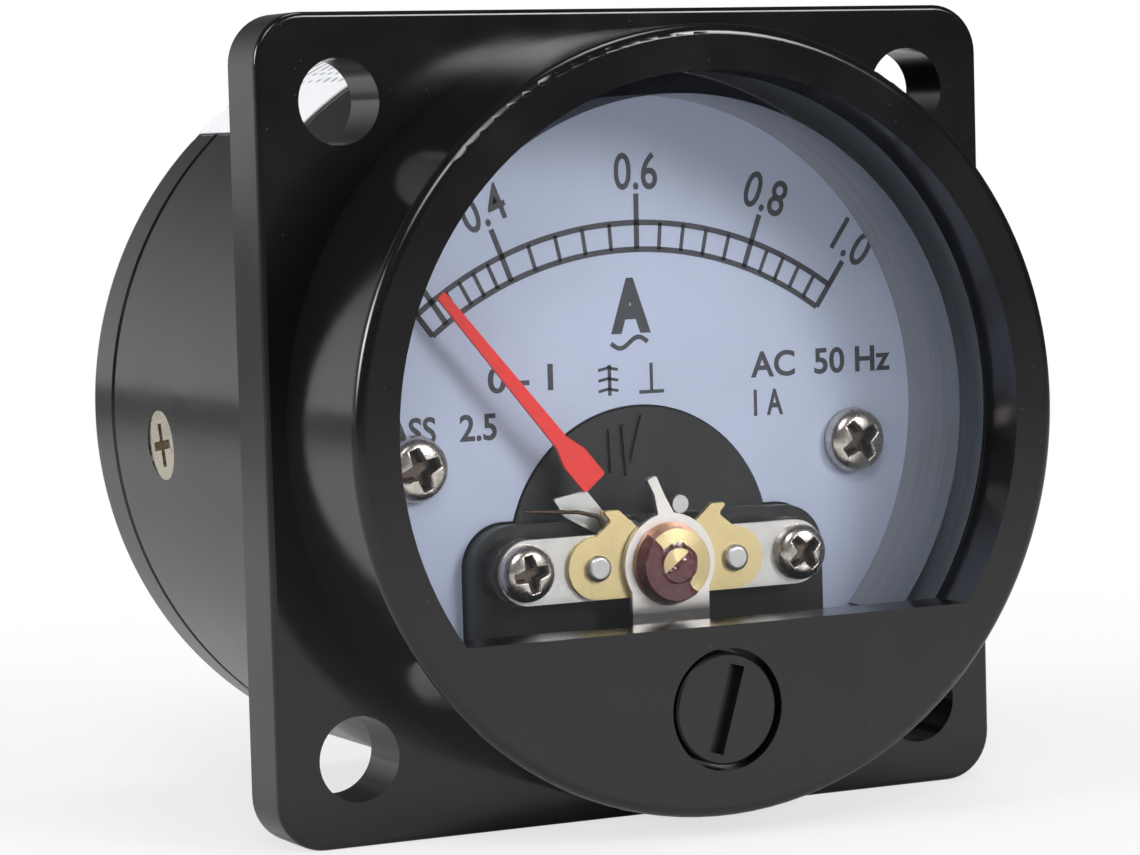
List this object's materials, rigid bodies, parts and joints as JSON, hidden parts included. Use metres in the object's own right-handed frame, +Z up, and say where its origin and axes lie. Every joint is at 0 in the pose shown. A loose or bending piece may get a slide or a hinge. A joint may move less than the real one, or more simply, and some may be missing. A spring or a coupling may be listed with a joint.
{
  "type": "analog panel meter",
  "caption": "Moving-iron AC ammeter for panel mounting: square four-hole flange, round drum with a clear window, 0 to 1 A dial, red pointer and slotted zero adjuster.",
  "frame": {"origin": "centre of the four mounting holes, on the back face of the flange", "axes": "+Z up, +Y from the dial to the terminals along the meter's axis, +X to the right as the dial is read"},
  "size_m": [0.045, 0.0482, 0.045],
  "materials": {
    "housing_black": "glossy",
    "can_black": "glossy",
    "frame_black": "satin",
    "screw_black": "satin",
    "clear_pane": "clear",
    "dial_print": "satin",
    "plated_screw": "bright",
    "bridge_plate": "bright",
    "lever_plate": "bright",
    "clip_brass": "satin",
    "nut_brass": "bright",
    "bronze": "satin",
    "rivet_silver": "satin",
    "aluminium": "satin",
    "steel": "satin",
    "pointer_red": "satin",
    "bobbin": "matte",
    "winding": "glossy",
    "side_screw_metal": "satin",
    "label_paper": "matte",
    "lead_insulation": "matte"
  },
  "bodies": {
    "root": {"front_housing": "housing_black", "window_pane": "clear_pane", "dial_plate": "dial_print", "dial_screws": "plated_screw", "movement_frame": "frame_black", "bridge_bar": "bridge_plate", "bridge_screws": "plated_screw", "brass_clip": "clip_brass", "clip_rivets": "rivet_silver", "stop_wire": "bronze", "front_jewel_screw": "nut_brass", "lock_nut": "nut_brass", "coil_bobbin": "bobbin", "coil_winding": "winding", "fixed_iron": "steel", "damping_chamber": "bobbin", "chamber_cover": "bobbin", "frame_pillars": "nut_brass", "rear_strap": "bridge_plate", "strap_screws": "plated_screw", "rear_jewel_screw": "nut_brass", "rear_lock_nut": "nut_brass", "rear_can": "can_black", "rear_cover": "can_black", "side_screws": "side_screw_metal", "can_label": "label_paper", "solder_tags": "nut_brass", "terminal_studs": "nut_brass", "stud_washers": "nut_brass", "terminal_nuts": "nut_brass", "spring_washers": "steel", "coil_leads": "lead_insulation"},
    "zero_screw": {"zero_screw": "screw_black"},
    "zero_lever": {"zero_lever": "lever_plate", "hairspring": "bronze"},
    "pointer": {"spindle": "steel", "pointer": "pointer_red", "pointer_carrier": "aluminium", "balance_weights": "rivet_silver", "hairspring_collet": "nut_brass", "iron_arms": "nut_brass", "moving_iron": "steel", "damping_vane": "aluminium"}
  },
  "joints": [
    {"name": "pointer_swing", "type": "hinge", "parent": "root", "child": "pointer", "pos_m": [0, -0.0055, -0.0081], "axis": [0, 1, 0], "range_deg": [-5, 83], "stiffness_Nm_per_rad": 0.000005},
    {"name": "zero_screw_turn", "type": "hinge", "parent": "root", "child": "zero_screw", "pos_m": [0, -0.0129, -0.0155], "axis": [0, 1, 0], "range_deg": [-40, 40]},
    {"name": "zero_lever_swing", "type": "hinge", "parent": "root", "child": "zero_lever", "pos_m": [0, -0.007, -0.0081], "axis": [0, 1, 0], "range_deg": [-6.2, 6.2]}
  ],
  "couplings": [
    {"joint": "zero_lever_swing", "follows": "zero_screw_turn", "ratio": -0.152}
  ]
}
